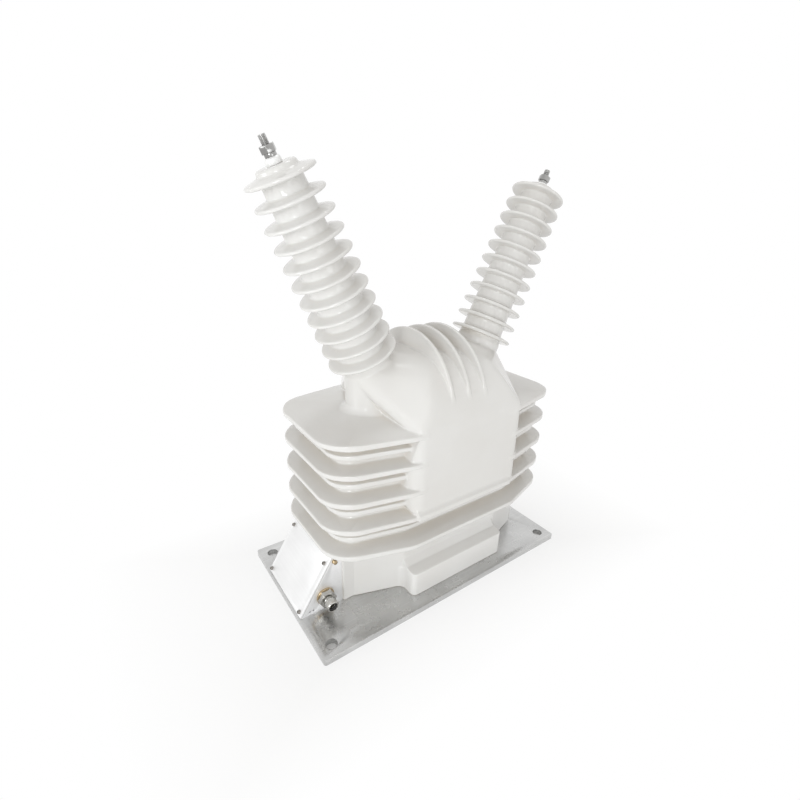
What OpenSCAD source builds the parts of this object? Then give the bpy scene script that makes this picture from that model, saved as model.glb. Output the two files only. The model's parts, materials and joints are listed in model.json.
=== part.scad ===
// Outdoor double-pole voltage transformer, cast in resin on a steel base plate.
// Millimetres, +Z up. The origin is the centre of the base plate's hole pattern, on its underside.
// The two poles lean apart along X, and the terminal box is at the -X end.

/* [Base plate] */
// Length of the base plate along X
plate_l = 500; // [460:1:540]
// Width of the base plate along Y
plate_w = 280; // [260:1:310]
// Thickness of the base plate
plate_t = 10; // [6:0.5:16]
// Radius of the plate's corners
plate_corner = 4; // [2:0.5:12]
// Diameter of the mounting holes
hole_d = 18; // [14:0.5:24]
// Distance of the mounting holes from the plate's edges
hole_edge = 21.5; // [16:0.5:30]

/* [Body on the plate] */
// Casting's middle from the plate's middle, along X
body_x = 27; // [20:0.5:32]
// Casting's middle from the plate's middle, along Y
body_y = 12; // [0:0.5:14]

/* [Resin body] */
// Half length of the body's wall between the sheds
wall_half_l = 200; // [190:1:210]
// Corner radius of that wall
wall_r = 28; // [22:1:34]
// Half width of the flat part of the wall's ends
end_half_w = 50; // [42:1:58]
// Where the sides stop widening, from the middle
mid_x = 100; // [90:1:110]
// How much wider each side is there than at the ends
side_flare = 16; // [10:1:18]
// How much wider each side of the foot is there
foot_flare = 24; // [18:1:28]
// Corner radius of the foot
foot_r = 22; // [18:1:26]
// Depth of the large sheds beyond the wall
large_out = 31; // [24:1:38]
// Depth of the small sheds beyond the wall
small_out = 15; // [10:1:20]
// Number of large sheds
large_n = 5; // [4:1:6]
// Gap between the terminal box and the lowest large shed
box_gap = 5.5; // [3:0.5:14]
// Height from one large shed to the next
shed_pitch = 46.2; // [40:0.2:50]
// Thickness of a shed at its rim
rim_t = 7; // [5:0.5:9]
// Slope of the sheds' tops in degrees
shed_slope = 4; // [2:0.5:8]
// Height of the rim along the foot of the drum's flanks
rim_h = 9; // [8:0.5:12]
// Rise of the hollow that leads from that rim up to the flank
rim_rise = 8; // [4:0.5:12]
// How far that rim stands out beyond the flank
rim_out = 5.5; // [3:0.5:8]
// Half width of the drum, flank to middle
drum_half_w = 124; // [120:0.5:126]
// Offset of the drum's middle from the poles' middle
drum_x = 6; // [0:0.5:8]
// Half length of the drum at its belly
drum_half_l = 118; // [112:1:124]
// Radius of the belly of the drum's ends
belly_r = 310; // [280:5:340]
// Height of the belly above the plate
belly_z = 197; // [185:1:210]
// Height of the drum's top above the plate
drum_top = 385; // [375:1:395]
// Radius of the drum's shoulders
shoulder_r = 100; // [80:1:110]
// Radius of the drum's lower corners
low_corner_r = 28; // [20:1:34]
// Radius of the drum's upright edges
drum_edge_r = 25; // [18:1:30]
// Number of crescent ribs between the poles
rib_n = 3; // [1:1:3]
// Distance between the ribs
rib_pitch = 33; // [26:1:38]
// Thickness of a rib
rib_t = 6; // [4:0.5:8]
// Radius of the ribs' round outline
rib_r = 119; // [112:1:121]
// Height of the ribs' crowns above the drum's top
rib_rise = 32; // [24:1:36]
// Offset of the ledge's middle from the poles' middle
ledge_x = -4; // [-8:0.5:0]
// Half length of the foot's ledge
ledge_half_l = 101; // [92:1:106]
// Half width across the ledge
ledge_half_w = 127; // [122:1:131]
// Height of the ledge's front
ledge_h = 43; // [34:1:52]
// Slope of the ledge's top in degrees
ledge_slope = 10; // [5:1:15]
// Radius of the hollows at the ledge's ends
ledge_fillet = 16; // [8:1:22]
// Radius of the ledge's upright edges
ledge_edge_r = 9; // [5:0.5:12]
// Rise of the hollow at the back of the ledge's top
ledge_cove = 10; // [6:1:14]
// Half width of the pad that carries the terminal box
pad_half_w = 69; // [67:0.5:72]

/* [Bushings] */
// Lean of each pole from upright, in degrees
lean = 25; // [18:0.5:30]
// Lowest shed's centre from the middle, along X
pole_x = 123.5; // [116:0.5:130]
// Lowest shed's centre above the plate
pole_z = 388.5; // [380:0.5:400]
// Number of sheds on a pole
pole_n = 11; // [8:1:12]
// Distance between those sheds
pole_pitch = 25.7; // [24:0.1:28]
// Radius of the lowest shed
shed_r_low = 54.5; // [50:0.5:58]
// Radius of the highest shed
shed_r_top = 46.5; // [42:0.5:50]
// Radius of the trunk at the lowest shed
trunk_r_low = 36; // [32:0.5:40]
// Radius of the trunk at the highest shed
trunk_r_top = 27; // [24:0.5:30]
// Radius of the neck under the lowest shed
neck_r = 39; // [37:0.5:42]
// Radius of the hollow round the neck's foot
neck_fillet = 18; // [10:1:22]
// Half length of the necks' root on the top shed, from the drum's middle
root_half_l = 108; // [104:1:112]
// Thickness of a pole's shed at its rim
pole_rim = 5.2; // [4.6:0.2:6.4]
// Rise of a pole's shed from rim to trunk
pole_rise = 3.5; // [2.5:0.5:4.5]
// Radius of the crown under the terminal
crown_r = 26.5; // [24:0.5:29]
// Height of the crown's top above the highest shed
crown_h = 13; // [11:0.5:16]

/* [Line terminals] */
// Diameter of the line studs
stud_d = 10; // [8:0.5:12]
// Length of stud set in the resin
stud_set = 40; // [30:1:50]
// Length of stud beyond its nut
stud_free = 12; // [8:1:20]
// Diameter of the collar
collar_d = 20; // [18:0.5:24]
// Height of the collar
collar_h = 8.5; // [7:0.5:11]
// Diameter of the washer
washer_d = 15; // [13.5:0.5:17]
// Thickness of the washer
washer_t = 4.3; // [3:0.1:5]
// Width across the flats of the nut
nut_af = 17; // [16:0.5:18]
// Height of the nut
nut_h = 8.5; // [7:0.2:10]

/* [Active part] */
// Height of the winding's axis above the plate
coil_z = 215; // [208:1:222]
// Side of the core's square limb
core_side = 34; // [30:1:36]
// Gap between the winding and the core's lower limb
core_gap = 10; // [6:1:12]
// Half length of the core's window
window_half_l = 52; // [51:0.5:56]
// Radius of the former on the core's limb
former_r = 31; // [29:0.5:33]
// Radial build of the secondary winding
sec_build = 11; // [8:0.5:12]
// Half length of the secondary winding
sec_half_l = 48; // [46:0.5:49]
// Wall of the barrier tube
barrier_t = 4; // [3:0.5:5]
// Radial build of the primary winding
pri_build = 40; // [34:1:41]
// Half length of the primary winding
pri_half_l = 40; // [36:0.5:42]
// Diameter of the high-voltage leads
lead_d = 6; // [4:0.5:8]
// Diameter of the secondary leads
wire_d = 4; // [3:0.25:5]

/* [Terminal box] */
// Half width of the box
box_half_w = 65; // [62:0.5:66]
// Height of the box
box_h = 96; // [86:0.5:106]
// Depth of the box at its bottom, from the pad
box_deep = 75; // [70:0.5:76]
// Depth of the box at its top, from the pad
box_top = 15; // [14:0.5:20]
// Sheet thickness of the box and its cover
sheet_t = 2; // [1.5:0.1:3]
// Width of the box's lip behind the cover
lip = 12; // [11:0.5:12.5]
// Thickness of the cover's gasket
gasket_t = 1.5; // [1:0.1:2]
// Inset of the cover screws from the cover's sides
screw_in = 7; // [6.5:0.25:7.5]
// Shift of the cover screws away from the cable gland
screw_shift = 2; // [0:0.25:2]
// Height of the lower cover screws above the cover's bottom
screw_low = 5.5; // [5:0.25:8]
// Distance of the upper cover screws below the cover's top
screw_drop = 19.5; // [8:0.5:24]
// Diameter of the cover screws
screw_d = 4; // [3:0.5:5]
// Diameter of the cover screws' heads
screw_head = 6.5; // [6:0.5:8]
// Diameter of the drain holes in the box's side
drain_d = 3; // [2:0.5:4]

/* [Secondary terminals] */
// Height of the terminal board's middle above the plate
board_z = 52; // [48:1:56]
// Height of the board
board_h = 30; // [24:1:34]
// Thickness of the board
board_t = 10; // [8:0.5:12]
// Diameter of the secondary studs
sec_stud_d = 6; // [5:0.5:7]
// Length of a secondary stud beyond the board
sec_stud_free = 16; // [14:0.5:18]

/* [Cable gland] */
// Gland's axis from the pad
gland_x = 30.5; // [28:0.5:33]
// Gland's axis above the plate
gland_z = 25; // [22:0.5:28]
// Diameter of the gland's entry thread
gland_d = 20; // [18:0.5:22]
// Width across the flats of the gland's hexagon
gland_af = 25; // [24:0.5:27]
// Bore through the gland
gland_bore = 11; // [9:0.5:12]
// Mouth of the gland's cap
gland_mouth = 14; // [13:0.5:15]

/* [Fixings] */
// Diameter of the bolts under the plate
bolt_d = 10; // [8:0.5:12]
// Diameter of their brass inserts
insert_d = 18; // [16:0.5:20]
// Depth of the inserts in the foot
insert_h = 28; // [22:1:34]
// Bolts' distance from the middle, along X
bolt_x = 140; // [130:1:150]
// Bolts' distance from the middle, along Y
bolt_y = 42; // [36:1:48]

/* [Hidden] */
$fn = 64;
resin = [0.80, 0.80, 0.79];
zinc = [0.62, 0.63, 0.64];
nickel = [0.75, 0.74, 0.70];
brass = [0.72, 0.56, 0.28];
copper = [0.72, 0.42, 0.25];
board = [0.30, 0.22, 0.16];
white = [0.93, 0.93, 0.92];
rubber = [0.10, 0.10, 0.10];
lamination = [0.25, 0.26, 0.28];
steel = [0.55, 0.56, 0.58];
// Sinking of one resin form into the next, so that they join as one casting
join = 2;
flat_in = 0.1;
end_x = wall_half_l - wall_r;
shed_z = box_h + box_gap;
drum_low = shed_z + shed_pitch + rim_t / 2;
pole_l = (pole_n - 1) * pole_pitch;
root_z = shed_z + (large_n - 1) * shed_pitch;
// Lengths along a pole's axis below its lowest shed: to the neck's own form, its blend and its end
neck_top = 10.4;
neck_reach = 26;
neck_l = 60;
neck_x = pole_x - neck_reach * sin(lean);
column_r = neck_r - 3;
root_l = 47;
root_h = 12;
root_corner = 12;
slice_x = 53;
// Length and depth of the round from the drum's flank to the necks' root
blend_l = 40;
blend_in = 45;
crown_edge = 2.5;
collar_edge = 2;
stud_relief = 1;
rib_z = drum_top + rib_rise - rib_r;
barrier_r = former_r + sec_build;
pri_r = barrier_r + barrier_t;
coil_r = pri_r + pri_build;
pad_x = wall_half_l + join;
cover_lean = atan((box_deep - box_top) / box_h);
cover_l = box_h / cos(cover_lean);
ring_t = 3;
hex_t = 9;
neck_t = 4;
cap_t = 13;
seal_t = 3;
gland_neck_d = gland_d - 4;
sec_stud_set = 20;
board_margin = 8;
locknut_t = 5;
screw_head_t = 3;
slot_w = 1;
earth_x = 12.5;
bolt_end_gap = 4;
box_screw_set = 14;
sec_nut_af = 10;
sec_nut_h = 5;
lead_y = (pri_half_l + sec_half_l) / 2;
seat_gap = 0.3;
cover_low = (sheet_t + gasket_t) * tan(cover_lean) + seat_gap;

// Moves a form from the casting's own middle on the plate's top to its place
module on_plate() {
    translate([body_x, body_y, plate_t])
        children();
}

// Moves a form along the axis of one pole: side is -1 or 1, height is measured from its lowest shed
module on_pole(side, height = 0) {
    on_plate()
        translate([side * pole_x, 0, pole_z])
            rotate([0, side * lean, 0])
                translate([0, 0, height])
                    children();
}

// Moves a form on to the sloped front of the terminal box: X runs across, Y runs up the slope, Z points out
module on_cover() {
    on_plate()
        translate([-pad_x - box_deep, 0, 0])
            rotate([90 - cover_lean, 0, -90])
                children();
}

module rounded_rect(l, w, r) {
    square([l - 2 * r, w], center = true);
    square([l, w - 2 * r], center = true);
    for (x = [-1, 1], y = [-1, 1])
        translate([x * (l / 2 - r), y * (w / 2 - r)])
            circle(r);
}

// Hexagon with its flats af apart
module hexagon(af) {
    circle(d = af / cos(30), $fn = 6);
}

module ring(outer_d, inner_d, h) {
    difference() {
        cylinder(d = outer_d, h = h);
        translate([0, 0, -1])
            cylinder(d = inner_d, h = h + 2);
    }
}

// Round bar or tube along Y, centred on the winding's axis
module along_coil(r, half_l) {
    translate([0, 0, coil_z])
        rotate([90, 0, 0])
            cylinder(r = r, h = 2 * half_l, center = true);
}

// Plan of the body: straight ends, sides that widen towards the middle, all corners rounded by r.
// The flats lie a hair inside the corners' circles.
module body_plan(r, flare) {
    a = atan(flare / (end_x - mid_x));
    f = r - flat_in;
    quarter = [
        [end_x + f, 0],
        [end_x + f, end_half_w],
        [end_x + f * sin(a), end_half_w + f * cos(a)],
        [mid_x + f * sin(a), end_half_w + flare + f * cos(a)],
        [mid_x, end_half_w + flare + f],
        [0, end_half_w + flare + f]];
    for (x = [0, 1], y = [0, 1])
        mirror([x, 0])
            mirror([0, y]) {
                polygon(concat([[0, 0]], quarter));
                translate([end_x, end_half_w])
                    circle(r);
                translate([mid_x, end_half_w + flare])
                    circle(r);
            }
}

// One shed round the body, flat below, with a top that slopes up from the rim on all four sides
module body_shed(out, flare = side_flare) {
    r = wall_r + out;
    half_l = end_x + r;
    half_w = end_half_w + flare + r;
    intersection() {
        linear_extrude(3 * rim_t + half_l * tan(shed_slope))
            body_plan(r, flare);
        rotate([90, 0, 0])
            linear_extrude(4 * half_w, center = true)
                roof(half_l + join);
        rotate([90, 0, 90])
            linear_extrude(4 * half_l, center = true)
                roof(half_w + join);
    }
}

module roof(half) {
    polygon([[-half, 0], [half, 0], [half, rim_t], [0, rim_t + half * tan(shed_slope)], [-half, rim_t]]);
}

// Section of the ledge: upright fronts, sloped tops, hollows up to the foot's walls
module ledge_section() {
    wall = end_half_w + foot_flare + foot_r;
    fall = tan(ledge_slope);
    for (y = [0, 1])
        mirror([y, 0])
            polygon([
                [0, 0],
                [ledge_half_w, 0],
                [ledge_half_w, ledge_h],
                [wall + ledge_cove, ledge_h + (ledge_half_w - wall - ledge_cove) * fall],
                [wall - join, ledge_h + (ledge_half_w - wall) * fall + ledge_cove],
                [0, ledge_h + (ledge_half_w - wall) * fall + ledge_cove]]);
}

// Ledge along both long sides of the foot, with hollow roots at its ends that run out on the foot's sides
module ledge() {
    a = atan(foot_flare / (end_x - mid_x));
    reach = ledge_half_l - ledge_x - mid_x + ledge_fillet;
    root = end_half_w + foot_flare + (foot_r + ledge_fillet - reach * sin(a)) / cos(a) - flat_in;
    intersection() {
        rotate([90, 0, 90])
            linear_extrude(3 * ledge_half_l, center = true)
                ledge_section();
        linear_extrude(2 * ledge_h)
            rounded_rect(2 * ledge_half_l, 2 * ledge_half_w, ledge_edge_r);
    }
    linear_extrude(ledge_h)
        for (x = [0, 1], y = [0, 1])
            mirror([x, 0])
                mirror([0, y])
                    translate([ledge_half_l, root])
                        difference() {
                            translate([-join, -2 * ledge_fillet])
                                square([ledge_fillet * (1 - sin(a)) + join, 2 * ledge_fillet]);
                            translate([ledge_fillet - flat_in, 0])
                                circle(ledge_fillet);
                        }
}

// Foot of the casting, with its ledge and the pad for the terminal box
module foot() {
    linear_extrude(shed_z + join)
        body_plan(foot_r, foot_flare);
    translate([ledge_x, 0, 0])
        ledge();
    translate([-pad_x, -pad_half_w, 0])
        cube([pad_x - mid_x, 2 * pad_half_w, shed_z + join]);
}

// Section of the drum across its length: flat flanks, wide round shoulders
module drum_section() {
    translate([-drum_half_w, 0])
        square([2 * drum_half_w, drum_top - shoulder_r]);
    translate([shoulder_r - drum_half_w, 0])
        square([2 * (drum_half_w - shoulder_r), drum_top]);
    for (y = [-1, 1])
        translate([y * (drum_half_w - shoulder_r), drum_top - shoulder_r])
            circle(shoulder_r);
}

// Outline of the drum's flank: belly-shaped ends, round lower corners
module drum_flank() {
    intersection() {
        translate([belly_r - drum_half_l, belly_z])
            circle(belly_r);
        translate([drum_half_l - belly_r, belly_z])
            circle(belly_r);
        translate([0, (drum_low + drum_top) / 2])
            rounded_rect(2 * drum_half_l, drum_top - drum_low, low_corner_r);
    }
}

// Drum that holds the winding
module drum() {
    intersection() {
        rotate([90, 0, 90])
            linear_extrude(3 * drum_half_l, center = true)
                drum_section();
        rotate([90, 0, 0])
            linear_extrude(3 * drum_half_w, center = true)
                drum_flank();
        translate([0, 0, drum_low])
            linear_extrude(drum_top)
                rounded_rect(2 * drum_half_l, 2 * drum_half_w, drum_edge_r);
    }
}

// Radius of a pole's trunk and of its sheds at a height above its lowest shed
function trunk_r(h) = trunk_r_low + (trunk_r_top - trunk_r_low) * h / pole_l;
function pole_shed_r(h) = shed_r_low + (shed_r_top - shed_r_low) * h / pole_l;

// Points of one pole shed: flat underside, round rim, sloped top
function pole_shed(h) =
    let (r = pole_shed_r(h), e = pole_rim / 2)
    concat(
        [[trunk_r(h), h - e]],
        [for (a = [-90 : 30 : 90]) [r - e + e * cos(a), h + e * sin(a)]],
        [[trunk_r(h), h + e + pole_rise]]);

// Half section of a pole from its neck to its crown
module pole_section() {
    top = pole_l + crown_h;
    sheds = [for (i = [0 : pole_n - 1]) each pole_shed(i * pole_pitch)];
    polygon(concat(
        [[0, -neck_l], [neck_r - join, -neck_l], [neck_r, -neck_top]],
        sheds,
        [[crown_r, top - crown_edge], [crown_r - crown_edge, top], [0, top]]));
}

// Slice of a pole's neck, where its blends begin
module neck_slice(side) {
    translate([side * pole_x, 0, pole_z])
        rotate([0, side * lean, 0])
            translate([0, 0, -neck_reach])
                cylinder(r = neck_r, h = pole_rim, $fn = 48);
}

// Blend from a pole's neck down to the drum's end and shoulders
module shoulder(side) {
    hull() {
        neck_slice(side);
        translate([drum_x + side * (root_half_l - root_l / 2), 0, root_z + join])
            linear_extrude(root_h)
                rounded_rect(root_l, 2 * drum_half_w, root_corner, $fn = 32);
        for (a = [0, 30, 60])
            translate([drum_x + side * (slice_x + blend_l * sin(a)), 0, 0])
                rotate([90, 0, 90])
                    linear_extrude(rim_t, center = true)
                        intersection() {
                            offset(delta = blend_in * (cos(a) - 1))
                                drum_section($fn = 48);
                            translate([-drum_half_w, root_z])
                                square([2 * drum_half_w, drum_top]);
                        }
    }
}

// Upright column from a pole's neck to the top shed, with a hollow round its foot
module neck_column(side) {
    foot_z = root_z + rim_t + 2 * join;
    spread_r = column_r - join / 2 + neck_fillet;
    hull() {
        neck_slice(side);
        translate([side * neck_x, 0, root_z + join])
            cylinder(r = column_r, h = rim_t, $fn = 48);
    }
    translate([side * neck_x, 0, foot_z])
        rotate_extrude($fn = 48)
            difference() {
                translate([0, -join])
                    square([spread_r, neck_fillet + join]);
                translate([spread_r, neck_fillet])
                    circle(neck_fillet, $fn = 32);
            }
}

// Rim along the foot of both flanks of the drum, with a hollow up to the flank
module flank_rim() {
    out = drum_half_w + rim_out;
    rotate([90, 0, 90])
        linear_extrude(2 * mid_x, center = true)
            for (y = [0, 1])
                mirror([y, 0])
                    polygon([
                        [0, 0],
                        [out, 0],
                        [out, rim_h],
                        [drum_half_w + join, rim_h + join],
                        [drum_half_w - join, rim_h + rim_rise],
                        [0, rim_h + rim_rise]]);
}

// Large sheds above the rim: they end a little way on to the flanks
module upper_shed() {
    difference() {
        body_shed(large_out);
        translate([drum_x, 0, 0])
            cube([2 * (drum_half_l - drum_edge_r - join), 3 * drum_half_w, 3 * shed_pitch], center = true);
    }
}

// Outside of the casting
module casting() {
    foot();
    translate([0, 0, shed_z + rim_t / 2])
        linear_extrude((large_n - 1) * shed_pitch)
            body_plan(wall_r, side_flare);
    translate([0, 0, shed_z])
        body_shed(large_out, foot_flare - join);
    translate([0, 0, shed_z + shed_pitch]) {
        body_shed(large_out);
        flank_rim();
    }
    for (i = [2 : large_n - 1])
        translate([0, 0, shed_z + i * shed_pitch])
            upper_shed();
    for (i = [0 : large_n - 2])
        translate([0, 0, shed_z + (i + 0.5) * shed_pitch])
            body_shed(small_out);
    translate([drum_x, 0, 0])
        drum();
    for (side = [-1, 1]) {
        shoulder(side);
        neck_column(side);
    }
    for (i = [0 : rib_n - 1])
        translate([(i - (rib_n - 1) / 2) * rib_pitch, 0, rib_z])
            rotate([0, 90, 0])
                cylinder(r = rib_r, h = rib_t, center = true, $fn = 96);
}

module base_plate() {
    color(zinc)
        difference() {
            linear_extrude(plate_t)
                rounded_rect(plate_l, plate_w, plate_corner);
            for (x = [-1, 1], y = [-1, 1])
                translate([x * (plate_l / 2 - hole_edge), y * (plate_w / 2 - hole_edge), -1])
                    cylinder(d = hole_d, h = plate_t + 2);
            body_bolts();
        }
}

module resin_body() {
    color(resin)
        difference() {
            union() {
                on_plate()
                    casting();
                for (side = [-1, 1])
                    on_pole(side)
                        rotate_extrude($fn = 72)
                            pole_section();
            }
            on_plate() {
                along_coil(coil_r, pri_half_l);
                along_coil(barrier_r + barrier_t, sec_half_l);
                core_space();
            }
            for (side = [-1, 1]) {
                hv_lead(side);
                line_stud(side);
            }
            secondary_leads();
            secondary_studs();
            body_inserts();
            body_bolts();
            box_screws();
        }
}

// Room for the core in the resin, the window left to the resin
module core_space() {
    low = coil_z - coil_r - core_gap - core_side;
    high = coil_z + core_side / 2;
    outer = window_half_l + core_side;
    difference() {
        translate([-core_side / 2, -outer, low])
            cube([core_side, 2 * outer, high - low]);
        translate([-core_side, -window_half_l, low + core_side])
            cube([2 * core_side, 2 * window_half_l, high - low - 2 * core_side]);
    }
}

module iron_core() {
    color(lamination)
        on_plate()
            core_space();
}

// Tube round the winding's axis
module coil_tube(inner_r, outer_r, half_l) {
    on_plate()
        difference() {
            along_coil(outer_r, half_l);
            along_coil(inner_r, half_l + 1);
        }
}

module former_tube() {
    color(board)
        on_plate()
            difference() {
                along_coil(former_r, sec_half_l);
                core_space();
            }
}

module secondary_winding() {
    color(copper)
        coil_tube(former_r, barrier_r, sec_half_l);
}

module barrier_tube() {
    color(board)
        coil_tube(barrier_r, pri_r, sec_half_l);
}

module primary_winding() {
    color(copper)
        coil_tube(pri_r, coil_r, pri_half_l);
}

// Lead from the outside of the primary winding up the pole's axis to its stud
module hv_lead(side) {
    color(copper)
        difference() {
            on_pole(side, -pole_z + coil_z)
                cylinder(d = lead_d, h = pole_l + crown_h - stud_set + pole_z - coil_z);
            on_plate()
                along_coil(coil_r, drum_half_w);
        }
}

module hv_lead_left() {
    hv_lead(-1);
}

module hv_lead_right() {
    hv_lead(1);
}

// One wire from each end of the secondary winding, along the body and down to the terminal board
module secondary_leads() {
    drop_x = -(wall_half_l + coil_r) / 2;
    color(copper)
        for (y = [-1, 1])
            on_plate()
                translate([0, y * lead_y, 0])
                    difference() {
                        union() {
                            translate([drop_x, 0, coil_z])
                                rotate([0, 90, 0])
                                    cylinder(d = wire_d, h = -drop_x);
                            translate([drop_x, 0, board_z])
                                cylinder(d = wire_d, h = coil_z - board_z);
                            translate([sec_stud_set - pad_x, 0, board_z])
                                rotate([0, 90, 0])
                                    cylinder(d = wire_d, h = pad_x - sec_stud_set + drop_x);
                            for (z = [board_z, coil_z])
                                translate([drop_x, 0, z])
                                    sphere(d = wire_d);
                        }
                        along_coil(pri_r, drum_half_w);
                    }
}

module line_stud(side) {
    held = stud_set + collar_h + washer_t + nut_h;
    color(steel)
        on_pole(side, pole_l + crown_h - stud_set) {
            cylinder(d = stud_d, h = held);
            translate([0, 0, held])
                cylinder(d = stud_d - stud_relief, h = stud_free - stud_relief);
            translate([0, 0, held + stud_free - stud_relief])
                cylinder(d1 = stud_d - stud_relief, d2 = stud_d - 3 * stud_relief, h = stud_relief);
        }
}

module line_stud_left() {
    line_stud(-1);
}

module line_stud_right() {
    line_stud(1);
}

module collar(side) {
    color(white)
        on_pole(side, pole_l + crown_h)
            difference() {
                union() {
                    cylinder(d = collar_d, h = collar_h - collar_edge);
                    translate([0, 0, collar_h - collar_edge])
                        cylinder(d1 = collar_d, d2 = collar_d - 2 * collar_edge, h = collar_edge);
                }
                translate([0, 0, -1])
                    cylinder(d = stud_d, h = collar_h + 2);
            }
}

module collar_left() {
    collar(-1);
}

module collar_right() {
    collar(1);
}

module washer(side) {
    color(steel)
        on_pole(side, pole_l + crown_h + collar_h)
            ring(washer_d, stud_d, washer_t);
}

module washer_left() {
    washer(-1);
}

module washer_right() {
    washer(1);
}

module line_nut(side) {
    color(steel)
        on_pole(side, pole_l + crown_h + collar_h + washer_t)
            difference() {
                linear_extrude(nut_h)
                    hexagon(nut_af);
                translate([0, 0, -1])
                    cylinder(d = stud_d, h = nut_h + 2);
            }
}

module line_nut_left() {
    line_nut(-1);
}

module line_nut_right() {
    line_nut(1);
}

// Turns a side view into a form across the box: the view's X runs out from the pad
module across_box(half_w) {
    on_plate()
        translate([-pad_x, 0, 0])
            rotate([90, 0, 180])
                linear_extrude(2 * half_w, center = true)
                    children();
}

// All the room deeper than this behind the cover's outer face
module behind_cover(depth) {
    on_cover()
        translate([0, cover_l / 2, -depth - 2 * box_deep])
            linear_extrude(2 * box_deep)
                square([3 * box_half_w, 3 * cover_l], center = true);
}

// Places a form at each of the four cover screws, pointing out
module at_cover_screws() {
    for (x = [-1, 1], y = [cover_low + screw_low, cover_l - screw_drop])
        on_cover()
            translate([x * (box_half_w - screw_in) - screw_shift, y, 0])
                children();
}

// Places a form at each screw that holds the box to the pad, pointing out from the pad
module at_box_screws() {
    inset = sheet_t + screw_head / 2 + 1;
    for (y = [-1, 1], z = [inset, box_h - inset])
        on_plate()
            translate([-pad_x, y * (box_half_w - inset), z])
                rotate([0, -90, 0])
                    children();
}

// Moves a form to the cable gland's place on the side of the box, pointing out
module on_gland(height = 0) {
    on_plate()
        translate([-pad_x - gland_x, -box_half_w, gland_z])
            rotate([90, 0, 0])
                translate([0, 0, height])
                    children();
}

// Moves a form to the earthing screw's place on the side of the box, pointing out
module on_earth() {
    on_plate()
        translate([-pad_x - earth_x, -box_half_w, box_h - lip])
            rotate([90, 0, 0])
                children();
}

// Folded box, open below: sides, top, a lip behind the cover and a flange against the pad
module terminal_box() {
    color(zinc)
        difference() {
            intersection() {
                across_box(box_half_w)
                    polygon([[0, 0], [box_deep, 0], [box_top, box_h], [0, box_h]]);
                behind_cover(sheet_t + gasket_t);
            }
            intersection() {
                across_box(box_half_w - sheet_t)
                    translate([sheet_t, -1])
                        square([box_deep, box_h - sheet_t + 1]);
                behind_cover(2 * sheet_t + gasket_t);
            }
            on_cover()
                translate([lip - box_half_w, cover_low + lip, -3 * sheet_t - gasket_t])
                    cube([2 * (box_half_w - lip), cover_l - cover_low - 2 * lip, 3 * sheet_t + gasket_t]);
            across_box(box_half_w - lip)
                translate([-1, lip])
                    square([sheet_t + 2, box_h - 2 * lip]);
            at_cover_screws()
                cylinder(d = screw_d, h = 6 * sheet_t, center = true);
            at_box_screws()
                cylinder(d = screw_d, h = 3 * sheet_t, center = true);
            on_gland(-2 * sheet_t)
                cylinder(d = gland_d, h = 3 * sheet_t);
            on_earth()
                cylinder(d = screw_d, h = 3 * sheet_t, center = true);
            for (x = [1, 2])
                on_plate()
                    translate([-pad_x - box_deep + lip + x * 2 * drain_d, -box_half_w, 2 * drain_d])
                        rotate([90, 0, 0])
                            cylinder(d = drain_d, h = 3 * sheet_t, center = true);
        }
}

module cover_gasket() {
    color(rubber)
        difference() {
            on_cover()
                translate([-box_half_w, cover_low, -sheet_t - gasket_t])
                    difference() {
                        cube([2 * box_half_w, cover_l - cover_low, gasket_t]);
                        translate([lip, lip, -1])
                            cube([2 * (box_half_w - lip), cover_l - cover_low - 2 * lip, gasket_t + 2]);
                    }
            at_cover_screws()
                cylinder(d = screw_d, h = 6 * sheet_t, center = true);
        }
}

module cover_plate() {
    color(zinc)
        difference() {
            on_cover()
                translate([-box_half_w, cover_low, -sheet_t])
                    cube([2 * box_half_w, cover_l - cover_low, sheet_t]);
            at_cover_screws()
                cylinder(d = screw_d, h = 6 * sheet_t, center = true);
        }
}

// Pan-head screw whose head sits on z = 0, with a cross slot in its head
module pan_screw(l) {
    translate([0, 0, -l])
        cylinder(d = screw_d, h = l);
    difference() {
        cylinder(d1 = screw_head, d2 = screw_head - screw_head_t / 2, h = screw_head_t);
        for (a = [0, 90])
            rotate([0, 0, a])
                translate([0, 0, screw_head_t])
                    cube([screw_head / 2, slot_w, screw_head_t], center = true);
    }
}

module cover_screws() {
    color(steel)
        at_cover_screws()
            pan_screw(2 * sheet_t + gasket_t);
}

module box_screws() {
    color(steel)
        at_box_screws()
            translate([0, 0, sheet_t])
                pan_screw(sheet_t + box_screw_set);
}

module terminal_board() {
    half_w = lead_y + board_margin;
    color(board)
        difference() {
            on_plate()
                translate([-pad_x - board_t, -half_w, board_z - board_h / 2])
                    cube([board_t, 2 * half_w, board_h]);
            secondary_studs();
        }
}

// Places a form at each secondary stud, pointing out from the pad
module at_secondary_studs() {
    for (y = [-1, 1])
        on_plate()
            translate([-pad_x, y * lead_y, board_z])
                rotate([0, -90, 0])
                    children();
}

module secondary_studs() {
    color(brass)
        at_secondary_studs()
            translate([0, 0, -sec_stud_set])
                cylinder(d = sec_stud_d, h = sec_stud_set + board_t + sec_stud_free);
}

module secondary_nuts() {
    color(brass)
        at_secondary_studs()
            translate([0, 0, board_t])
                difference() {
                    linear_extrude(sec_nut_h)
                        hexagon(sec_nut_af);
                    translate([0, 0, -1])
                        cylinder(d = sec_stud_d, h = sec_nut_h + 2);
                }
}

module gland_ring() {
    color(brass)
        on_gland()
            ring(gland_af / cos(30), gland_d, ring_t);
}

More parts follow.
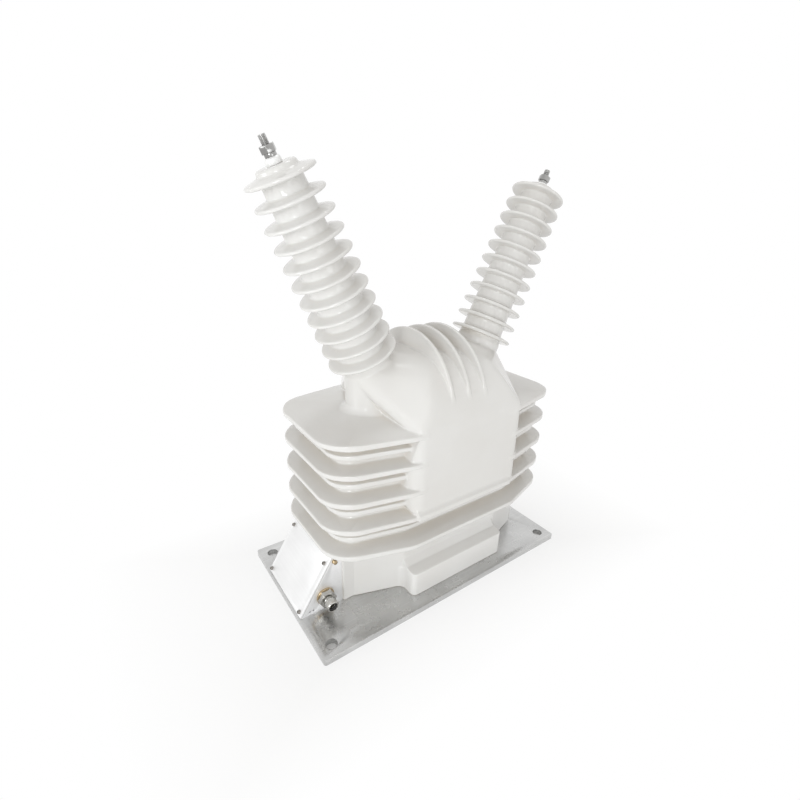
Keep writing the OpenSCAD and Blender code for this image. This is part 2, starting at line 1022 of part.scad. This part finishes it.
module gland_body() {
    inner = sheet_t + locknut_t + 1;
    color(nickel)
        on_gland()
            difference() {
                union() {
                    translate([0, 0, -inner])
                        cylinder(d = gland_d, h = inner + ring_t);
                    translate([0, 0, ring_t])
                        linear_extrude(hex_t)
                            hexagon(gland_af);
                    translate([0, 0, ring_t + hex_t])
                        cylinder(d = gland_neck_d, h = neck_t + cap_t - 2 * seal_t);
                }
                translate([0, 0, -inner - 1])
                    cylinder(d = gland_bore, h = inner + ring_t + hex_t + neck_t + cap_t);
            }
}

module gland_cap() {
    color(nickel)
        on_gland(ring_t + hex_t + neck_t)
            difference() {
                union() {
                    cylinder(d = gland_d - 1, h = cap_t - 1);
                    translate([0, 0, cap_t - 1])
                        cylinder(d1 = gland_d - 1, d2 = gland_d - 3, h = 1);
                }
                translate([0, 0, -1])
                    cylinder(d = gland_neck_d, h = cap_t - seal_t + 1);
                cylinder(d = gland_mouth, h = cap_t + 1);
            }
}

module gland_seal() {
    color(rubber)
        on_gland(ring_t + hex_t + neck_t + cap_t - 2 * seal_t)
            ring(gland_neck_d, gland_bore, seal_t);
}

module gland_locknut() {
    color(brass)
        on_gland(-sheet_t - locknut_t)
            difference() {
                linear_extrude(locknut_t)
                    hexagon(gland_af);
                translate([0, 0, -1])
                    cylinder(d = gland_d, h = locknut_t + 2);
            }
}

module earth_screw() {
    color(brass)
        on_earth() {
            translate([0, 0, -3 * sheet_t])
                cylinder(d = screw_d, h = 3 * sheet_t);
            cylinder(d = screw_head + 2, h = 1);
            translate([0, 0, 1])
                linear_extrude(screw_d)
                    hexagon(screw_head);
        }
}

// Places a form at each bolt under the plate, from the plate's underside up
module at_body_bolts() {
    for (x = [-1, 1], y = [-1, 1])
        translate([body_x + x * bolt_x, body_y + y * bolt_y, 0])
            children();
}

module body_inserts() {
    color(brass)
        difference() {
            at_body_bolts()
                translate([0, 0, plate_t])
                    cylinder(d = insert_d, h = insert_h);
            body_bolts();
        }
}

// Countersunk bolts, flush with the plate's underside
module body_bolts() {
    color(steel)
        at_body_bolts() {
            cylinder(d1 = 2 * bolt_d, d2 = bolt_d, h = bolt_d / 2);
            cylinder(d = bolt_d, h = plate_t + insert_h - bolt_end_gap);
        }
}

base_plate();
resin_body();
iron_core();
former_tube();
secondary_winding();
barrier_tube();
primary_winding();
hv_lead_left();
hv_lead_right();
secondary_leads();
line_stud_left();
line_stud_right();
collar_left();
collar_right();
washer_left();
washer_right();
line_nut_left();
line_nut_right();
terminal_box();
cover_gasket();
cover_plate();
cover_screws();
box_screws();
terminal_board();
secondary_studs();
secondary_nuts();
gland_ring();
gland_body();
gland_cap();
gland_seal();
gland_locknut();
earth_screw();
body_inserts();
body_bolts();
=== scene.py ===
import json
import math

import bmesh
import bpy
import numpy as np
from mathutils import Matrix, Vector

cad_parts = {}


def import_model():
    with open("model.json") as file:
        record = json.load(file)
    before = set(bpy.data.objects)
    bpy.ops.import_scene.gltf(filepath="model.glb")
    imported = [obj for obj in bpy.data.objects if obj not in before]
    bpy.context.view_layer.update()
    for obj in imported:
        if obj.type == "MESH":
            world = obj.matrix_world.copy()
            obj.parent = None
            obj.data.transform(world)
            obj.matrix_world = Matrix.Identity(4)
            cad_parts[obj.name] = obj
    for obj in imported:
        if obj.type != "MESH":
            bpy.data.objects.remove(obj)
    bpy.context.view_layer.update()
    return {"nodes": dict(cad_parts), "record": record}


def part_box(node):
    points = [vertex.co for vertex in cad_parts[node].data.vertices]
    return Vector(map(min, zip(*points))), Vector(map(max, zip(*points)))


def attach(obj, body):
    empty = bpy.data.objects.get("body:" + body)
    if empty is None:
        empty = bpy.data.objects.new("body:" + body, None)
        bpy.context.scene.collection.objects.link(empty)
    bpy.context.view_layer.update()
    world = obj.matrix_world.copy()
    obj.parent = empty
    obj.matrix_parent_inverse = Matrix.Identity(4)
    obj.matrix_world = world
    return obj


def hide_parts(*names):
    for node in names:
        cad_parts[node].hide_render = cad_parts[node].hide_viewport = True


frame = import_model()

MM = 0.001
NODES = frame["nodes"]
SLOT_OF = {part["node"]: part["material_slot"] for part in frame["record"]["subparts"]}
MOUNTS = {mount["name"]: mount for mount in frame["record"]["mounts"]}
SIDES = ("left", "right")

# Camera of the photograph: its place, its axes and its focal length and centre in pixels
IMAGE = 800
CAMERA_AT = (-434.97 * MM, -574.14 * MM, 594.32 * MM)
CAMERA_FORWARD = (0.558537, 0.737398, -0.379842)
CAMERA_UP = (0.200485, 0.324339, 0.924451)
FOCAL_PX = 460.39
CENTRE_PX = (415.81, 403.56)
SENSOR = 36.0

# Light: slightly cool lamps and a slightly warm sky, which colours the deep shadows
LAMP_COLOUR = (0.95, 0.98, 1.0)
SKY_COLOUR = (0.65, 0.637, 0.615, 1.0)

# Skin of the casting, and the plugs that close the casting's bores
VOXEL = 1.3 * MM
SOFTEN = 4
SKIN_TRIANGLES = 190_000
PLUG = 4 * MM

# Blend between the necks and the drum: its limits, each with the width over which the blend sets in
BLEND = 450
BLEND_LEVELS = 10
BLEND_LOW = 308 * MM
LOW_FADE = 5 * MM
RIBS_HALF = 42 * MM
RIBS_FADE = 8 * MM
NECK_HALF = 28 * MM
NECK_FADE = 25 * MM
NECK_OUT = 112 * MM
OUT_FADE = 15 * MM
SHED_CLEAR = 8 * MM
SHED_FADE = 8 * MM
# Along a pole's axis, from its lowest shed to the middle of its stud's thread
POLE_LENGTH = 296.8 * MM

# Line stud: an M10 thread above the nut
THREAD_PITCH = 1.5 * MM
THREAD_HIGH = 4.9 * MM
THREAD_LOW = 4.15 * MM
THREAD_STEPS = 10
THREAD_SIDES = 32
SHANK = 5 * MM

# Floor: half its width, and its share of white at the plate's edge, which grows to all white further out
FLOOR_HALF = 12.0
NEAR_WHITE = 0.72
ALL_WHITE_AT = 2.0


def link(obj):
    bpy.context.scene.collection.objects.link(obj)
    return obj


def mesh_object(name, bm):
    mesh = bpy.data.meshes.new(name)
    bm.to_mesh(mesh)
    bm.free()
    return link(bpy.data.objects.new(name, mesh))


def evaluated(obj):
    graph = bpy.context.evaluated_depsgraph_get()
    return bpy.data.meshes.new_from_object(obj.evaluated_get(graph))


def place_on(point, axis):
    """Matrix that takes +Z at the origin to the axis at the point."""
    turn = Vector(axis).to_track_quat("Z", "Y")
    return Matrix.Translation(point) @ turn.to_matrix().to_4x4()


def middle(node):
    low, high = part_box(node)
    return (Vector(low) + Vector(high)) / 2


class Shader:
    """A node material, built up socket by socket."""

    def __init__(self, name, **sockets):
        self.material = bpy.data.materials.new(name)
        self.material.use_nodes = True
        self.tree = self.material.node_tree
        self.surface = self.tree.nodes["Principled BSDF"]
        self.set(self.surface, sockets)
        self.place = self.add("ShaderNodeTexCoord").outputs["Object"]

    def set(self, node, sockets):
        for name, value in sockets.items():
            socket = node.inputs[name.replace("_", " ")]
            if isinstance(value, bpy.types.NodeSocket):
                self.tree.links.new(value, socket)
            elif isinstance(value, tuple) and len(value) == 3 and socket.type == "RGBA":
                socket.default_value = (*value, 1.0)
            else:
                socket.default_value = value

    def add(self, kind, **sockets):
        node = self.tree.nodes.new(kind)
        self.set(node, sockets)
        return node

    def stretched(self, scale):
        return self.add("ShaderNodeMapping", Vector=self.place, Scale=scale).outputs["Vector"]

    def noise(self, scale, detail=3.0, stretch=None, distortion=0.0):
        place = self.stretched(stretch) if stretch else self.place
        node = self.add("ShaderNodeTexNoise", Vector=place, Scale=scale, Detail=detail, Distortion=distortion)
        return node.outputs["Fac"]

    def blend(self, fac, low, high, dark, light):
        """Colour that goes from dark to light as fac goes from low to high."""
        node = self.add("ShaderNodeValToRGB", Fac=fac)
        for stop, at, colour in zip(node.color_ramp.elements, (low, high), (dark, light)):
            stop.position = at
            stop.color = (*colour, 1.0)
        return node.outputs["Color"]

    def span(self, fac, low, high, to_low, to_high):
        """Number that goes from to_low to to_high as fac goes from low to high."""
        node = self.add("ShaderNodeMapRange")
        for i, value in enumerate((fac, low, high, to_low, to_high)):
            if i == 0:
                self.tree.links.new(value, node.inputs[0])
            else:
                node.inputs[i].default_value = value
        return node.outputs[0]

    def maths(self, operation, first, second):
        node = self.tree.nodes.new("ShaderNodeMath")
        node.operation = operation
        self.tree.links.new(first, node.inputs[0])
        self.tree.links.new(second, node.inputs[1])
        return node.outputs[0]

    def over(self, fac, below, above):
        """Colour below where fac is 0 and above where it is 1."""
        node = self.tree.nodes.new("ShaderNodeMix")
        node.data_type = "RGBA"
        for name, value in (("Factor_Float", fac), ("A_Color", below), ("B_Color", above)):
            socket = next(s for s in node.inputs if s.identifier == name)
            if isinstance(value, bpy.types.NodeSocket):
                self.tree.links.new(value, socket)
            else:
                socket.default_value = (*value, 1.0) if socket.type == "RGBA" else value
        return next(s for s in node.outputs if s.identifier == "Result_Color")

    def bump(self, height, distance):
        node = self.add("ShaderNodeBump", Height=height, Distance=distance, Strength=1.0)
        self.set(self.surface, {"Normal": node.outputs["Normal"]})


def cast_resin():
    """Pale grey cast resin: faint clouds, a painted warm shade in its recesses, a clear gloss and a slight
    waviness.
    """
    s = Shader("cast_resin", Specular_IOR_Level=0.5)
    clouds = s.blend(s.noise(7.0, 4.0), 0.35, 0.7, (0.745, 0.733, 0.712), (0.79, 0.785, 0.773))
    # Painted shade: where ambient occlusion finds the surface closed in, as between fins and ribs, the colour
    # turns to a warm tint that stands for the shade there
    shade_occlusion = s.add("ShaderNodeAmbientOcclusion", Distance=90 * MM)
    depth = s.span(shade_occlusion.outputs["AO"], 0.1, 0.45, 0.7, 0.0)
    s.set(s.surface, {"Base Color": s.over(depth, clouds, (0.8, 0.75, 0.68))})
    s.set(s.surface, {"Roughness": s.span(s.noise(30.0, 4.0), 0.3, 0.7, 0.09, 0.17)})
    s.bump(s.noise(60.0, 2.0), 0.05 * MM)
    return s.material


def plate_steel():
    """Bright rolled plate: cloudy patches, fine scratches along its length."""
    s = Shader("plate_steel", Metallic=0.9)
    clouds = s.blend(s.noise(12.0, 5.0, distortion=0.2), 0.3, 0.7, (0.5, 0.5, 0.495), (0.63, 0.63, 0.625))
    scratch = s.span(s.noise(90.0, 5.0, stretch=(0.12, 6.0, 1.0)), 0.56, 0.74, 0.0, 0.35)
    s.set(s.surface, {"Base Color": s.over(scratch, clouds, (0.84, 0.84, 0.83))})
    s.set(s.surface, {"Roughness": s.span(s.noise(40.0, 4.0), 0.3, 0.7, 0.24, 0.34)})
    s.bump(s.noise(120.0, 4.0, stretch=(0.2, 3.0, 1.0)), 0.08 * MM)
    return s.material


def white_metal():
    """Satin white metal with a faint grain."""
    s = Shader("white_metal", Metallic=0.2)
    tone = s.blend(s.noise(25.0, 4.0), 0.3, 0.7, (0.86, 0.86, 0.855), (0.93, 0.93, 0.925))
    s.set(s.surface, {"Base Color": tone})
    s.set(s.surface, {"Roughness": s.span(s.noise(70.0, 4.0), 0.3, 0.7, 0.34, 0.48)})
    s.bump(s.noise(300.0, 3.0), 0.04 * MM)
    return s.material


def sheet_metal():
    """Satin aluminium sheet with faint clouds and a fine grain along the folds."""
    s = Shader("sheet_metal", Metallic=0.45)
    clouds = s.blend(s.noise(18.0, 5.0), 0.3, 0.7, (0.88, 0.88, 0.885), (0.94, 0.94, 0.945))
    grain = s.span(s.noise(60.0, 4.0, stretch=(1.0, 0.15, 6.0)), 0.4, 0.75, 0.0, 0.25)
    s.set(s.surface, {"Base Color": s.over(grain, clouds, (0.78, 0.78, 0.785))})
    s.set(s.surface, {"Roughness": s.span(s.noise(35.0, 4.0), 0.3, 0.7, 0.3, 0.42)})
    s.bump(s.noise(200.0, 3.0), 0.03 * MM)
    return s.material


def plated(name, dark, light, rough):
    """Plated or bare small metal pieces: tarnish clouds and turning marks."""
    s = Shader(name, Metallic=1.0)
    s.set(s.surface, {"Base Color": s.blend(s.noise(45.0, 3.0), 0.3, 0.7, dark, light)})
    s.set(s.surface, {"Roughness": s.span(s.noise(120.0, 3.0), 0.3, 0.7, rough, rough + 0.1)})
    s.bump(s.noise(400.0, 2.0), 0.008 * MM)
    return s.material


def moulded(name, dark, light, rough, grain):
    """Dull non-metal pieces with a visible grain."""
    s = Shader(name)
    s.set(s.surface, {"Base Color": s.blend(s.noise(grain, 4.0), 0.3, 0.7, dark, light)})
    s.set(s.surface, {"Roughness": s.span(s.noise(grain * 3, 3.0), 0.3, 0.7, rough, rough + 0.1)})
    s.bump(s.noise(grain * 8, 3.0), 0.05 * MM)
    return s.material


def core_steel():
    """Stack of core laminations, seen as fine lines across the core."""
    s = Shader("core_steel", Metallic=0.9)
    lines = s.noise(40.0, 2.0, stretch=(60.0, 0.2, 0.2))
    s.set(s.surface, {"Base Color": s.blend(lines, 0.35, 0.65, (0.16, 0.17, 0.19), (0.34, 0.35, 0.37))})
    s.set(s.surface, {"Roughness": s.span(lines, 0.3, 0.7, 0.35, 0.5)})
    s.bump(lines, 0.1 * MM)
    return s.material


MATERIALS = {
    "cast_resin": cast_resin(),
    "plate_steel": plate_steel(),
    "white_metal": white_metal(),
    "sheet_metal": sheet_metal(),
    "core_steel": core_steel(),
    "zinc_steel": plated("zinc_steel", (0.3, 0.297, 0.29), (0.54, 0.535, 0.525), 0.12),
    "dark_steel": plated("dark_steel", (0.2, 0.185, 0.17), (0.4, 0.38, 0.35), 0.25),
    "brass": plated("brass", (0.33, 0.25, 0.15), (0.56, 0.44, 0.28), 0.2),
    "nickel": plated("nickel", (0.32, 0.31, 0.29), (0.58, 0.57, 0.54), 0.1),
    "copper": plated("copper", (0.5, 0.24, 0.12), (0.72, 0.4, 0.22), 0.3),
    "laminate": moulded("laminate", (0.2, 0.13, 0.08), (0.36, 0.26, 0.18), 0.55, 90.0),
    "rubber": moulded("rubber", (0.03, 0.03, 0.03), (0.07, 0.07, 0.07), 0.65, 150.0),
}
PALE_RUBBER = moulded("pale_rubber", (0.62, 0.62, 0.61), (0.74, 0.74, 0.73), 0.6, 150.0)


def finish_piece(obj, *nodes):
    """The piece stands for these CAD nodes, and takes the first one's material."""
    slot = SLOT_OF[nodes[0]]
    obj.data.materials.clear()
    obj.data.materials.append(MATERIALS[slot])
    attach(obj, "root")
    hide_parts(*nodes)
    return obj


def block(bm, low, high):
    size = [b - a for a, b in zip(low, high)]
    centre = [(a + b) / 2 for a, b in zip(low, high)]
    bmesh.ops.create_cube(bm, size=1.0, matrix=Matrix.Translation(centre) @ Matrix.Diagonal((*size, 1.0)))


def close_casting(bm):
    """Plugs the bores of the casting, so that only its outside is left to the skin."""
    low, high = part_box("body_inserts")
    block(bm, (low[0] - PLUG, low[1] - PLUG, low[2]), (high[0] + PLUG, high[1] + PLUG, low[2] + PLUG))
    low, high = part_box("terminal_board")
    block(bm, (high[0], low[1], low[2]), (high[0] + PLUG, high[1], high[2]))
    for side in SIDES:
        axis = Vector(MOUNTS[f"line_stud_{side}_end"]["axis"])
        depth = 4 * PLUG
        at = place_on(middle(f"collar_{side}") - axis * (depth - PLUG / 2), axis)
        wide = SHANK + MM
        bmesh.ops.create_cone(
            bm, cap_ends=True, segments=24, radius1=wide, radius2=wide, depth=depth, matrix=at)


def fade(distance, width):
    """0 up to the limit that the distance is measured from, and 1 from the width onward."""
    return np.clip(distance / width, 0, 1)


def blend_weights(mesh):
    """How much each point of the casting takes part in the blend round the necks, from 0 to 1.

    The blend stays above the top shed, clear of the ribs and the poles' sheds, and off the middle and the
    outer half of each neck.
    """
    points = np.empty(3 * len(mesh.vertices), dtype=np.float32)
    mesh.vertices.foreach_get("co", points)
    points = points.reshape(-1, 3)
    tips = [Vector(MOUNTS[f"line_stud_{side}_end"]["pos_m"]) for side in SIDES]
    along = np.abs(points[:, 0] - (tips[0].x + tips[1].x) / 2)
    aside = np.abs(points[:, 1] - tips[0].y)
    weights = fade(points[:, 2] - BLEND_LOW, LOW_FADE)
    weights *= fade(along - RIBS_HALF, RIBS_FADE)
    weights *= fade(aside - NECK_HALF, NECK_FADE)
    weights *= fade(NECK_OUT - along, OUT_FADE)
    for side, tip in zip(SIDES, tips):
        axis = np.array(MOUNTS[f"line_stud_{side}_end"]["axis"])
        above_shed = (points - np.array(tip)) @ axis + POLE_LENGTH
        weights *= fade(-above_shed - SHED_CLEAR, SHED_FADE)
    return weights


def blended(obj):
    """The casting's mesh with its necks drawn softly into the drum."""
    levels = np.rint(BLEND_LEVELS * blend_weights(obj.data)).astype(int)
    group = obj.vertex_groups.new(name="blend")
    for level in range(1, BLEND_LEVELS + 1):
        group.add(np.flatnonzero(levels == level).tolist(), level / BLEND_LEVELS, "REPLACE")
    soft = obj.modifiers.new("blend", "SMOOTH")
    soft.factor = 0.5
    soft.iterations = BLEND
    soft.vertex_group = group.name
    return evaluated(obj)


def casting_skin():
    """The casting with its moulded edges: every rim rounded, every root filleted."""
    bm = bmesh.new()
    bm.from_mesh(NODES["resin_body"].data)
    bmesh.ops.remove_doubles(bm, verts=bm.verts, dist=0.001 * MM)
    close_casting(bm)
    rough = mesh_object("rough_casting", bm)
    remesh = rough.modifiers.new("voxels", "REMESH")
    remesh.mode = "VOXEL"
    remesh.voxel_size = VOXEL
    soft = rough.modifiers.new("soft", "SMOOTH")
    soft.factor = 0.5
    soft.iterations = SOFTEN
    fine = link(bpy.data.objects.new("fine_casting", evaluated(rough)))
    fine.data = blended(fine)
    fine.modifiers.clear()
    fine.vertex_groups.clear()
    fine.data.shade_smooth()
    skin = link(bpy.data.objects.new("casting", fine.data.copy()))
    triangles = sum(len(face.vertices) - 2 for face in skin.data.polygons)
    fewer = skin.modifiers.new("fewer", "DECIMATE")
    fewer.ratio = SKIN_TRIANGLES / triangles
    fewer.use_collapse_triangulate = True
    shade = skin.modifiers.new("shade", "DATA_TRANSFER")
    shade.object = fine
    shade.use_loop_data = True
    shade.data_types_loops = {"CUSTOM_NORMAL"}
    shade.loop_mapping = "POLYINTERP_NEAREST"
    mesh = evaluated(skin)
    skin.modifiers.clear()
    skin.data = mesh
    bpy.data.objects.remove(rough)
    bpy.data.objects.remove(fine)
    return finish_piece(skin, "resin_body")


def softened(node, width, segments=2):
    """A CAD piece with its sharp edges broken by a small radius."""
    bm = bmesh.new()
    bm.from_mesh(NODES[node].data)
    bmesh.ops.remove_doubles(bm, verts=bm.verts, dist=0.001 * MM)
    bmesh.ops.dissolve_limit(bm, angle_limit=math.radians(1), verts=bm.verts, edges=bm.edges)
    sharp = [e for e in bm.edges if e.is_manifold and e.calc_face_angle() > math.radians(35)]
    bmesh.ops.bevel(
        bm, geom=sharp, offset=width, offset_type="OFFSET", segments=segments,
        profile=0.5, affect="EDGES", clamp_overlap=True)
    piece = mesh_object(f"{node}_finish", bm)
    piece.data.shade_smooth()
    piece.data.set_sharp_from_angle(angle=math.radians(40))
    return finish_piece(piece, node)


def threaded_stud(side):
    """Line stud with its plain shank and the thread above the nut."""
    mount = MOUNTS[f"line_stud_{side}_end"]
    axis = Vector(mount["axis"])
    free = mount["dims"]["length_mm"] * MM
    tip = Vector(mount["pos_m"]) + axis * free / 2
    low_to_tip = (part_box(f"line_stud_{side}")[1][2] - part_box(f"line_stud_{side}")[0][2]) / axis.z
    length = low_to_tip - SHANK * abs(axis.x) / axis.z * 2
    rows = [(0.0, SHANK), (length - free, SHANK)]
    turns = free / THREAD_PITCH
    bm = bmesh.new()
    place = place_on(tip - axis * length, axis)
    rings = []
    for z, radius in rows:
        rings.append([
            bm.verts.new((radius * math.cos(a), radius * math.sin(a), z))
            for a in (2 * math.pi * i / THREAD_SIDES for i in range(THREAD_SIDES))])
    count = int(turns * THREAD_STEPS)
    for j in range(count + 1):
        z = length - free + free * j / count
        ring = []
        for i in range(THREAD_SIDES):
            wave = 0.5 - 0.5 * math.cos(2 * math.pi * ((z - length) / THREAD_PITCH - i / THREAD_SIDES))
            taper = min(1.0, (count - j) / THREAD_STEPS)
            radius = THREAD_LOW + (THREAD_HIGH - THREAD_LOW) * wave * taper
            a = 2 * math.pi * i / THREAD_SIDES
            ring.append(bm.verts.new((radius * math.cos(a), radius * math.sin(a), z)))
        rings.append(ring)
    for low, high in zip(rings, rings[1:]):
        for i in range(THREAD_SIDES):
            bm.faces.new((low[i], low[(i + 1) % THREAD_SIDES], high[(i + 1) % THREAD_SIDES], high[i]))
    bm.faces.new(rings[0][::-1])
    bm.faces.new(rings[-1])
    bmesh.ops.transform(bm, matrix=place, verts=bm.verts)
    piece = mesh_object(f"line_stud_{side}_thread", bm)
    piece.data.shade_smooth()
    piece.data.set_sharp_from_angle(angle=math.radians(50))
    return finish_piece(piece, f"line_stud_{side}")


def dress_nodes():
    for name, obj in NODES.items():
        obj.material_slots[0].material = MATERIALS[SLOT_OF[name]]
    NODES["cover_gasket"].material_slots[0].material = PALE_RUBBER


def seen_rays(tree):
    """Socket that is 1 for the rays that show the backdrop: to the camera, in gloss and through glass."""
    path = tree.nodes.new("ShaderNodeLightPath")
    seen = path.outputs["Is Camera Ray"]
    for ray in ("Is Glossy Ray", "Is Transmission Ray"):
        either = tree.nodes.new("ShaderNodeMath")
        either.operation = "MAXIMUM"
        tree.links.new(seen, either.inputs[0])
        tree.links.new(path.outputs[ray], either.inputs[1])
        seen = either.outputs[0]
    return seen


def floor():
    """Pale floor that keeps the object's shadow and goes over into the white backdrop."""
    bm = bmesh.new()
    bmesh.ops.create_grid(bm, x_segments=2, y_segments=2, size=FLOOR_HALF)
    obj = mesh_object("floor", bm)
    s = Shader("floor", Base_Color=(0.9, 0.9, 0.9), Roughness=0.9, Specular_IOR_Level=0.0)
    glow = s.add("ShaderNodeEmission", Color=(1.0, 1.0, 1.0), Strength=1.0)
    low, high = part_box("base_plate")
    away = s.add("ShaderNodeVectorMath", Vector=s.stretched((1 / high[0], 1 / high[1], 1.0)))
    away.operation = "ABSOLUTE"
    parts = s.add("ShaderNodeSeparateXYZ", Vector=away.outputs["Vector"])
    reach = s.maths("MAXIMUM", parts.outputs["X"], parts.outputs["Y"])
    open_floor = s.span(reach, 0.96, 0.98, 0.0, 1.0)
    white = s.maths("MULTIPLY", open_floor, s.span(reach, 1.0, ALL_WHITE_AT, NEAR_WHITE, 1.0))
    share = s.maths("MULTIPLY", white, seen_rays(s.tree))
    mix = s.add("ShaderNodeMixShader")
    s.tree.links.new(share, mix.inputs[0])
    s.tree.links.new(s.surface.outputs["BSDF"], mix.inputs[1])
    s.tree.links.new(glow.outputs["Emission"], mix.inputs[2])
    out = s.tree.nodes["Material Output"]
    s.tree.links.new(mix.outputs["Shader"], out.inputs["Surface"])
    obj.data.materials.append(s.material)


def world():
    """White backdrop for the camera and for reflections, and a softer sky for the light."""
    scene_world = bpy.data.worlds.new("studio")
    bpy.context.scene.world = scene_world
    scene_world.use_nodes = True
    tree = scene_world.node_tree
    level = tree.nodes.new("ShaderNodeValToRGB")
    level.color_ramp.elements[0].color = SKY_COLOUR
    level.color_ramp.elements[1].color = (1.0, 1.0, 1.0, 1.0)
    tree.links.new(seen_rays(tree), level.inputs["Fac"])
    tree.links.new(level.outputs["Color"], tree.nodes["Background"].inputs["Color"])


def softbox(name, at, target, size, watts):
    light = bpy.data.lights.new(name, "AREA")
    light.color = LAMP_COLOUR
    light.shape = "ELLIPSE"
    light.size, light.size_y = size
    light.energy = watts
    obj = link(bpy.data.objects.new(name, light))
    obj.location = at
    obj.rotation_euler = (Vector(target) - Vector(at)).to_track_quat("-Z", "Y").to_euler()


def lights():
    centre = (0.03, 0.0, 0.3)
    softbox("key_light", (-1.6, -1.5, 0.6), centre, (0.5, 1.5), 16.0)
    softbox("front_light", (0.3, -2.2, 0.3), centre, (1.2, 0.6), 4.0)
    softbox("top_light", (0.1, 0.4, 2.2), centre, (0.5, 0.5), 4.0)
    softbox("side_light", (-2.0, 0.3, 0.6), centre, (0.8, 0.8), 6.0)


def camera():
    data = bpy.data.cameras.new("camera")
    data.sensor_width = SENSOR
    data.lens = FOCAL_PX / IMAGE * SENSOR
    data.shift_x = (IMAGE / 2 - CENTRE_PX[0]) / IMAGE
    data.shift_y = (CENTRE_PX[1] - IMAGE / 2) / IMAGE
    data.clip_start = 0.01
    obj = link(bpy.data.objects.new("camera", data))
    forward = Vector(CAMERA_FORWARD).normalized()
    right = forward.cross(Vector(CAMERA_UP)).normalized()
    up = right.cross(forward)
    turn = Matrix((right, up, -forward)).transposed()
    obj.matrix_world = Matrix.Translation(CAMERA_AT) @ turn.to_4x4()
    bpy.context.scene.camera = obj


dress_nodes()
casting_skin()
for side in SIDES:
    threaded_stud(side)
    softened(f"collar_{side}", 0.8 * MM)
    softened(f"washer_{side}", 0.5 * MM)
    softened(f"line_nut_{side}", 0.4 * MM)
softened("base_plate", 0.8 * MM)
for node in ("terminal_box", "cover_plate"):
    softened(node, 0.4 * MM)
for node in ("cover_screws", "gland_ring", "gland_body", "gland_cap", "earth_screw"):
    softened(node, 0.3 * MM)
floor()
world()
lights()
camera()
bpy.context.scene.view_settings.view_transform = "Standard"
